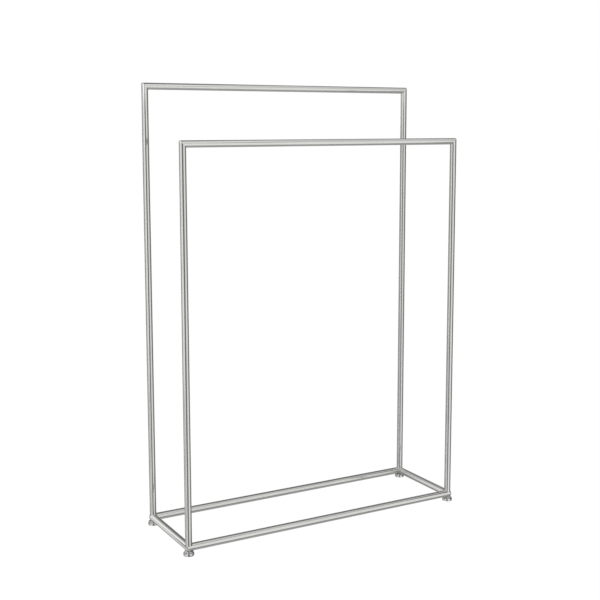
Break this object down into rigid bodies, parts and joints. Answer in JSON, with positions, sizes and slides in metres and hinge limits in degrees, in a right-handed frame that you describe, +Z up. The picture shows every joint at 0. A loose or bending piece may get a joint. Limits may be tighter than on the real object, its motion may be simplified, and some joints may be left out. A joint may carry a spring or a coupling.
{
  "type": "towel stand",
  "caption": "Free-standing towel and valet stand: a tall and a short rectangular round-tube frame on a shared floor ring with screw-adjustable disc feet.",
  "frame": {"origin": "on the floor at the centre of the four-footed footprint", "axes": "+Z up; +X to the right along the rails; the short frame stands at -Y, the tall frame at +Y"},
  "size_m": [0.6076, 0.195, 0.859],
  "materials": {
    "satin_tube": "stainless tube, fine satin polish, mitred and ground welds",
    "turned_steel": "turned stainless, mirror polished",
    "bush_steel": "turned stainless, as machined",
    "spring_steel": "blackened spring steel",
    "glide_rubber": "matt soft rubber"
  },
  "bodies": {
    "frame": {"back_left_upright": "satin_tube", "back_right_upright": "satin_tube", "back_top_rail": "satin_tube", "front_left_upright": "satin_tube", "front_right_upright": "satin_tube", "front_top_rail": "satin_tube", "base_front_rail": "satin_tube", "base_back_rail": "satin_tube", "base_left_rail": "satin_tube", "base_right_rail": "satin_tube", "threaded_bush_fl": "bush_steel", "threaded_bush_fr": "bush_steel", "threaded_bush_bl": "bush_steel", "threaded_bush_br": "bush_steel"},
    "foot_fl": {"foot_disc_fl": "turned_steel", "glide_pad_fl": "glide_rubber"},
    "screw_fl": {"levelling_screw_fl": "turned_steel", "retaining_clip_fl": "spring_steel"},
    "foot_fr": {"foot_disc_fr": "turned_steel", "glide_pad_fr": "glide_rubber"},
    "screw_fr": {"levelling_screw_fr": "turned_steel", "retaining_clip_fr": "spring_steel"},
    "foot_bl": {"foot_disc_bl": "turned_steel", "glide_pad_bl": "glide_rubber"},
    "screw_bl": {"levelling_screw_bl": "turned_steel", "retaining_clip_bl": "spring_steel"},
    "foot_br": {"foot_disc_br": "turned_steel", "glide_pad_br": "glide_rubber"},
    "screw_br": {"levelling_screw_br": "turned_steel", "retaining_clip_br": "spring_steel"}
  },
  "joints": [
    {"name": "level_fl", "type": "slide", "parent": "frame", "child": "foot_fl", "axis": [0, 0, -1], "range_m": [0, 0.006]},
    {"name": "turn_fl", "type": "hinge", "parent": "foot_fl", "child": "screw_fl", "pos_m": [-0.29365, -0.0874, 0.0072], "axis": [0, 0, -1], "range_deg": [0, 2160]},
    {"name": "level_fr", "type": "slide", "parent": "frame", "child": "foot_fr", "axis": [0, 0, -1], "range_m": [0, 0.006]},
    {"name": "turn_fr", "type": "hinge", "parent": "foot_fr", "child": "screw_fr", "pos_m": [0.29365, -0.0874, 0.0072], "axis": [0, 0, -1], "range_deg": [0, 2160]},
    {"name": "level_bl", "type": "slide", "parent": "frame", "child": "foot_bl", "axis": [0, 0, -1], "range_m": [0, 0.006]},
    {"name": "turn_bl", "type": "hinge", "parent": "foot_bl", "child": "screw_bl", "pos_m": [-0.29365, 0.0874, 0.0072], "axis": [0, 0, -1], "range_deg": [0, 2160]},
    {"name": "level_br", "type": "slide", "parent": "frame", "child": "foot_br", "axis": [0, 0, -1], "range_m": [0, 0.006]},
    {"name": "turn_br", "type": "hinge", "parent": "foot_br", "child": "screw_br", "pos_m": [0.29365, 0.0874, 0.0072], "axis": [0, 0, -1], "range_deg": [0, 2160]}
  ],
  "couplings": [
    {"joint": "turn_fl", "follows": "level_fl", "rad_per_m": 6283.2},
    {"joint": "turn_fr", "follows": "level_fr", "rad_per_m": 6283.2},
    {"joint": "turn_bl", "follows": "level_bl", "rad_per_m": 6283.2},
    {"joint": "turn_br", "follows": "level_br", "rad_per_m": 6283.2}
  ]
}
